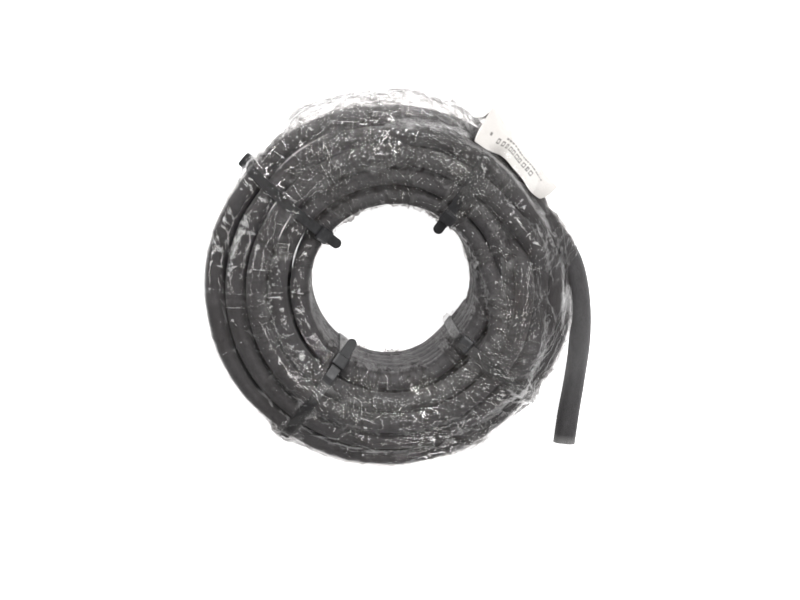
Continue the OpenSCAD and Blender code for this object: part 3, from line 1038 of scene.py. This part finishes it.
# an outer length laid round the coil, its edges drawn in over the top and the underside to a gathered bead
nu, nv = 860, 170
thB = np.linspace(-math.pi, math.pi, nu, endpoint=False)
vB = np.linspace(0, 1, nv)
TB, VB = np.meshgrid(thB, vB, indexing="ij")
lip = 1.87 - 0.10 * np.clip(np.sin(TB), -0.6, 1) + 0.06 * np.cos(TB) + 0.05 * wave_noise(TB * 1.0, 51, 3, 3.0) + 0.035 * np.sin(TB * 7 + 1) + 0.02 * np.sin(TB * 23) + 0.012 * np.sin(TB * 61 + 2)
low = 2 * math.pi - 2.0
AB = lip + (low - 2 * math.pi - lip) * VB
AB = np.where(AB < 0, AB + 2 * math.pi, AB)
B3, creaseB, nB = film_surface(TB, AB, 1.35 + 0 * TB, 70, 0.9)
e = np.clip(1 - VB / 0.035, 0, 1)
gather = np.clip(1 - VB / 0.22, 0, 1) ** 1.5
rip = (1 - np.abs(np.sin(TB * 53 + 2.5 * np.sin(TB * 9)))) ** 2.2
rip2 = (1 - np.abs(np.sin(TB * 97 + 3.1 * np.sin(TB * 13 + 1) + VB * 30))) ** 2
B3 = B3 + nB * (1.0 * gather * rip + 0.7 * gather * rip2 + e * (1.7 + 0.9 * np.sin(TB * 117 + 4 * np.sin(TB * 31)) + 0.6 * np.sin(TB * 211 + 3 * np.sin(TB * 47))))[..., None]
outer_film = grid_mesh("film_outer", B3, {
    "crease": np.clip(creaseB + 0.7 * gather * (rip + rip2), 0, 1), "rim": np.clip(1 - VB / 0.045, 0, 1) ** 0.5,
    "busy": np.clip(BUSY[1][0] + 1.2 * gather, 0, 1.3), "gloss_mask_slip_and_shade": BUSY[1][1], "veil": BUSY[1][2],
    "along": VB * 260.0, "across": TB * 118.0,
}, wrap=True)
outer_film.data.materials.append(FILM_OUT)
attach(outer_film, "root")
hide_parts("film_base")

def slivers():
    r = np.random.default_rng(11)
    verts, faces = [], []
    for k in range(9):
        t0 = math.radians(r.uniform(-24, -17))
        a = np.array([(163 + r.uniform(-3, 1)) * math.cos(t0), (163 + r.uniform(-3, 1)) * math.sin(t0), r.uniform(66, 92)])
        d = np.array([r.uniform(-0.35, 0.12), -1.0, r.uniform(-0.35, -0.05)])
        d /= np.linalg.norm(d)
        L = r.uniform(16, 46)
        w = r.uniform(0.16, 0.34)
        side = np.cross(d, [0, 0, 1.0])
        side /= np.linalg.norm(side)
        bend = r.uniform(-4, 4)
        n = 14
        base = len(verts)
        for i in range(n):
            t = i / (n - 1)
            c = a + d * L * (t - 0.15) + side * bend * t * t + np.array([0, 0, -2.0 * t * t])
            ww = w * (1 - 0.8 * t)
            for x, y in ((-ww, 0.0), (0.0, 0.09), (ww, 0.0), (0.0, -0.09)):
                verts.append(c + side * x + np.array([0, 0, y]))
        for i in range(n - 1):
            for j in range(4):
                p, q = base + 4 * i + j, base + 4 * i + (j + 1) % 4
                faces.append((p, q, q + 4, p + 4))
        faces.append((base + 3, base + 2, base + 1, base))
        e = base + 4 * (n - 1)
        faces.append((e, e + 1, e + 2, e + 3))
    return new_mesh("film_slivers", to_world(np.array(verts)), faces)


def sliver_material():
    m, nt, out = mat_new("film_sliver")
    N = Nodes(nt)
    b = nt.nodes.new("ShaderNodeBsdfPrincipled")
    nt.links.new(b.outputs[0], out.inputs[0])
    col = N.ramp(N.noise(N.obj(), 300.0), [(0.35, (0.20, 0.20, 0.20)), (0.65, (0.55, 0.54, 0.53))])
    nt.links.new(col, b.inputs["Base Color"])
    nt.links.new(N.remap(N.noise(N.obj(), 500.0), 0.3, 0.7, 0.15, 0.4), b.inputs["Roughness"])
    return m


shreds = slivers()
shreds.data.materials.append(sliver_material())
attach(shreds, "root")

# ---------------------------------------------------------------- stage
floor_me = bpy.data.meshes.new("floor")
floor_me.from_pydata([(-3, -3, 0), (3, -3, 0), (3, 3, 0), (-3, 3, 0)], [], [(0, 1, 2, 3)])
floor = bpy.data.objects.new("floor", floor_me)
sc.collection.objects.link(floor)
fm, nt, out = mat_new("floor_white")
b = nt.nodes.new("ShaderNodeBsdfPrincipled")
b.inputs["Base Color"].default_value = (0.93, 0.93, 0.93, 1)
b.inputs["Roughness"].default_value = 0.9
b.inputs["Emission Color"].default_value = (1, 1, 1, 1)
b.inputs["Emission Strength"].default_value = 1.0
nt.links.new(b.outputs[0], out.inputs[0])
floor_me.materials.append(fm)

world = bpy.data.worlds.new("world")
sc.world = world
world.use_nodes = True
bg = world.node_tree.nodes["Background"]
bg.inputs[0].default_value = (1, 1, 1, 1)
bg.inputs[1].default_value = 0.12


def area(name, loc, target, size, power, size_y=None):
    l = bpy.data.lights.new(name, "AREA")
    l.shape = "RECTANGLE"
    l.size = size
    l.size_y = size_y or size
    l.energy = power
    o = bpy.data.objects.new(name, l)
    sc.collection.objects.link(o)
    o.location = loc
    d = Vector(target) - Vector(loc)
    o.rotation_euler = d.to_track_quat("-Z", "Y").to_euler()
    return o


area("key", (-0.1, 1.25, 1.15), (0, 0, 0.05), 0.30, 22, 0.18)
area("side", (-1.35, 0.2, 1.05), (0, 0, 0.05), 0.3, 4.5, 0.25)
area("low", (0.45, -1.35, 0.95), (0, 0, 0.05), 0.3, 7, 0.2)
area("top", (0.85, 0.4, 1.7), (0, 0, 0.05), 0.5, 14)
